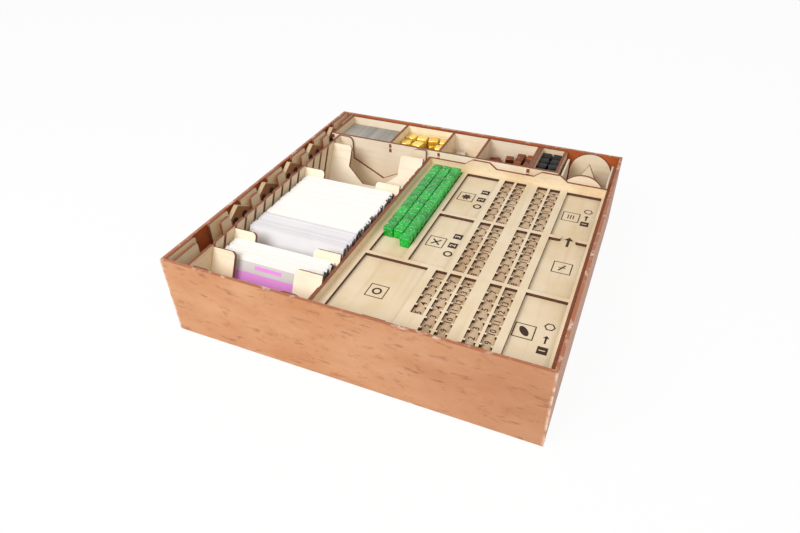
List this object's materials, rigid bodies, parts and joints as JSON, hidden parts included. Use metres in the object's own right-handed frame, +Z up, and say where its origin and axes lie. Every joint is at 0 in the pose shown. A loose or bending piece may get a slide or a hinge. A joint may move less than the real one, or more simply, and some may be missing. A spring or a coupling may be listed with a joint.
{
  "type": "board game box",
  "caption": "Square chipboard game box base with a slotted plywood organiser: card tray with leaning dividers, tile rack, token trays and stacked player boards.",
  "frame": {"origin": "centre of the box's underside", "axes": "+X right along the front, +Y to the back, +Z up"},
  "size_m": [0.298, 0.298, 0.0707],
  "materials": {
    "greyboard": "matte",
    "printed_paper": "satin",
    "lining_paper": "satin",
    "plywood": "matte",
    "pale_card": "matte",
    "white_cards": "matte",
    "grey_cards": "matte",
    "tile_card": "satin",
    "grey_tile_card": "matte",
    "gold": "metallic",
    "silver": "metallic",
    "bronze": "metallic",
    "black": "satin",
    "green": "gloss"
  },
  "bodies": {
    "box": {"box_board": "greyboard", "box_wrap": "printed_paper", "floor_liner": "lining_paper"},
    "card_tray": {"card_tray_floor": "plywood", "card_tray_left_wall": "plywood", "card_tray_right_wall": "plywood", "card_tray_front_wall": "plywood", "card_tray_back_wall": "plywood"},
    "tile_rack": {"rack_base": "plywood", "rack_back_comb": "plywood", "rack_cradle": "plywood", "rack_front_comb": "plywood"},
    "resource_tray": {"resource_tray_floor": "plywood", "resource_tray_front_wall": "plywood", "resource_tray_back_wall": "plywood", "resource_tray_cross_walls": "plywood", "resource_tray_shelf": "plywood"},
    "cube_box": {"cube_box_floor": "plywood", "cube_box_walls": "plywood"},
    "corner_tray": {"corner_floor": "plywood", "corner_side_walls": "plywood", "corner_cheeks": "pale_card", "corner_end_walls": "plywood", "corner_gable": "plywood", "corner_fin": "plywood"},
    "divider_1": {"card_divider_1": "plywood"},
    "divider_2": {"card_divider_2": "plywood"},
    "divider_3": {"card_divider_3": "plywood"},
    "divider_4": {"card_divider_4": "plywood"},
    "front_deck": {"front_deck": "white_cards"},
    "grey_deck": {"grey_deck": "grey_cards"},
    "white_deck": {"white_deck": "white_cards"},
    "tile_stack_1": {"tile_stack_1": "tile_card"},
    "tile_stack_2": {"tile_stack_2": "tile_card"},
    "tile_stack_3": {"tile_stack_3": "tile_card"},
    "tile_stack_4": {"tile_stack_4": "tile_card"},
    "tile_stack_5": {"tile_stack_5": "tile_card"},
    "grey_tiles": {"grey_tiles": "grey_tile_card"},
    "gold_cubes": {"gold_cubes": "gold"},
    "silver_cubes": {"silver_cubes": "silver"},
    "bronze_cubes": {"bronze_cubes": "bronze"},
    "black_cubes": {"black_cubes": "black"},
    "board_1": {"board_1_base": "plywood", "board_1_sheet": "plywood", "board_1_rims": "plywood"},
    "board_2": {"board_2_base": "plywood", "board_2_sheet": "plywood", "board_2_rims": "plywood"},
    "board_3": {"board_3_base": "plywood", "board_3_sheet": "plywood", "board_3_rims": "plywood"},
    "board_4": {"board_4_base": "plywood", "board_4_sheet": "plywood", "board_4_rims": "plywood"},
    "board_5": {"board_5_base": "plywood", "board_5_sheet": "plywood", "board_5_rims": "plywood"},
    "green_cubes": {"green_cubes": "green"}
  },
  "joints": [
    {"name": "card_tray_lift", "type": "slide", "parent": "box", "child": "card_tray", "axis": [0, 0, 1], "range_m": [0, 0.08]},
    {"name": "tile_rack_lift", "type": "slide", "parent": "box", "child": "tile_rack", "axis": [0, 0, 1], "range_m": [0, 0.08]},
    {"name": "resource_tray_lift", "type": "slide", "parent": "box", "child": "resource_tray", "axis": [0, 0, 1], "range_m": [0, 0.08]},
    {"name": "cube_box_lift", "type": "slide", "parent": "box", "child": "cube_box", "axis": [0, 0, 1], "range_m": [0, 0.08]},
    {"name": "corner_tray_lift", "type": "slide", "parent": "box", "child": "corner_tray", "axis": [0, 0, 1], "range_m": [0, 0.08]},
    {"name": "divider_1_lift", "type": "slide", "parent": "card_tray", "child": "divider_1", "axis": [0, 0.454, 0.891], "range_m": [0, 0.08]},
    {"name": "divider_2_lift", "type": "slide", "parent": "card_tray", "child": "divider_2", "axis": [0, 0.454, 0.891], "range_m": [0, 0.08]},
    {"name": "divider_3_lift", "type": "slide", "parent": "card_tray", "child": "divider_3", "axis": [0, 0.454, 0.891], "range_m": [0, 0.08]},
    {"name": "divider_4_lift", "type": "slide", "parent": "card_tray", "child": "divider_4", "axis": [0, 0.454, 0.891], "range_m": [0, 0.024]},
    {"name": "front_deck_lift", "type": "slide", "parent": "card_tray", "child": "front_deck", "axis": [0, 0.454, 0.891], "range_m": [0, 0.08]},
    {"name": "grey_deck_lift", "type": "slide", "parent": "card_tray", "child": "grey_deck", "axis": [0, 0.454, 0.891], "range_m": [0, 0.08]},
    {"name": "white_deck_lift", "type": "slide", "parent": "card_tray", "child": "white_deck", "axis": [0, 0.454, 0.891], "range_m": [0, 0.08]},
    {"name": "tile_stack_1_lift", "type": "slide", "parent": "tile_rack", "child": "tile_stack_1", "axis": [0, 0, 1], "range_m": [0, 0.08]},
    {"name": "tile_stack_2_lift", "type": "slide", "parent": "tile_rack", "child": "tile_stack_2", "axis": [0, 0, 1], "range_m": [0, 0.08]},
    {"name": "tile_stack_3_lift", "type": "slide", "parent": "tile_rack", "child": "tile_stack_3", "axis": [0, 0, 1], "range_m": [0, 0.08]},
    {"name": "tile_stack_4_lift", "type": "slide", "parent": "tile_rack", "child": "tile_stack_4", "axis": [0, 0, 1], "range_m": [0, 0.08]},
    {"name": "tile_stack_5_lift", "type": "slide", "parent": "tile_rack", "child": "tile_stack_5", "axis": [0, 0, 1], "range_m": [0, 0.08]},
    {"name": "grey_tiles_lift", "type": "slide", "parent": "resource_tray", "child": "grey_tiles", "axis": [0, 0, 1], "range_m": [0, 0.08]},
    {"name": "gold_cubes_lift", "type": "slide", "parent": "resource_tray", "child": "gold_cubes", "axis": [0, 0, 1], "range_m": [0, 0.08]},
    {"name": "silver_cubes_lift", "type": "slide", "parent": "resource_tray", "child": "silver_cubes", "axis": [0, 0, 1], "range_m": [0, 0.08]},
    {"name": "bronze_cubes_lift", "type": "slide", "parent": "resource_tray", "child": "bronze_cubes", "axis": [0, 0, 1], "range_m": [0, 0.08]},
    {"name": "black_cubes_lift", "type": "slide", "parent": "cube_box", "child": "black_cubes", "axis": [0, 0, 1], "range_m": [0, 0.08]},
    {"name": "board_1_lift", "type": "slide", "parent": "box", "child": "board_1", "axis": [0, 0, 1], "range_m": [0, 0.08]},
    {"name": "board_2_lift", "type": "slide", "parent": "board_1", "child": "board_2", "axis": [0, 0, 1], "range_m": [0, 0.08]},
    {"name": "board_3_lift", "type": "slide", "parent": "board_2", "child": "board_3", "axis": [0, 0, 1], "range_m": [0, 0.08]},
    {"name": "board_4_lift", "type": "slide", "parent": "board_3", "child": "board_4", "axis": [0, 0, 1], "range_m": [0, 0.08]},
    {"name": "board_5_lift", "type": "slide", "parent": "board_4", "child": "board_5", "axis": [0, 0, 1], "range_m": [0, 0.08]},
    {"name": "green_cubes_lift", "type": "slide", "parent": "board_5", "child": "green_cubes", "axis": [0, 0, 1], "range_m": [0, 0.08]}
  ]
}
